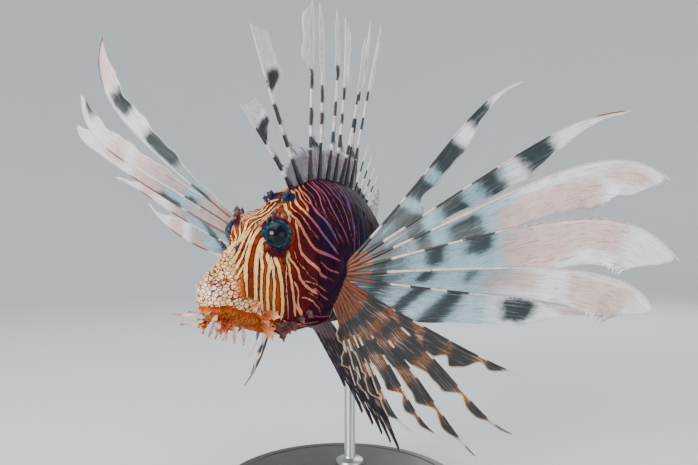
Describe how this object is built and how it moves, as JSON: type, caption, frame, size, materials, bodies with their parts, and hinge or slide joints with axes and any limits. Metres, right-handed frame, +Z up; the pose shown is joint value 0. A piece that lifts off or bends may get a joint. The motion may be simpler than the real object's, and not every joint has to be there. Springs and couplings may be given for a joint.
{
  "type": "red lionfish",
  "caption": "Life-size still model of a swimming red lionfish with fanned fins, held over a flat round display base by a short rod.",
  "frame": {"origin": "centre of the underside of the stand's round base", "axes": "+Z up. The picture's camera looks along +Y, with +X to its right. The fish's head points to -X and -Y."},
  "size_m": [0.3491, 0.2867, 0.3038],
  "materials": {
    "skin": "satin, banded red-brown and cream",
    "eye": "wet gloss",
    "fin": "thin, half clear, blotched",
    "spine_fin": "satin, banded",
    "dark_fin": "satin, dark with pale spots",
    "stand_base": "satin black",
    "stand_rod": "brushed"
  },
  "bodies": {
    "root": {"head": "skin", "lower_jaw": "skin", "trunk": "skin", "tail_stem": "skin", "eye_left": "eye", "eye_right": "eye", "brow_tentacle_left": "skin", "brow_tentacle_right": "skin", "dorsal_fin_spiny": "spine_fin", "dorsal_fin_soft": "fin", "anal_fin": "fin", "tail_fin": "fin", "pectoral_fin_left": "fin", "pectoral_fin_right": "fin", "pelvic_fin_left": "dark_fin", "pelvic_fin_right": "dark_fin", "stand_base": "stand_base", "stand_rod": "stand_rod"}
  },
  "joints": []
}
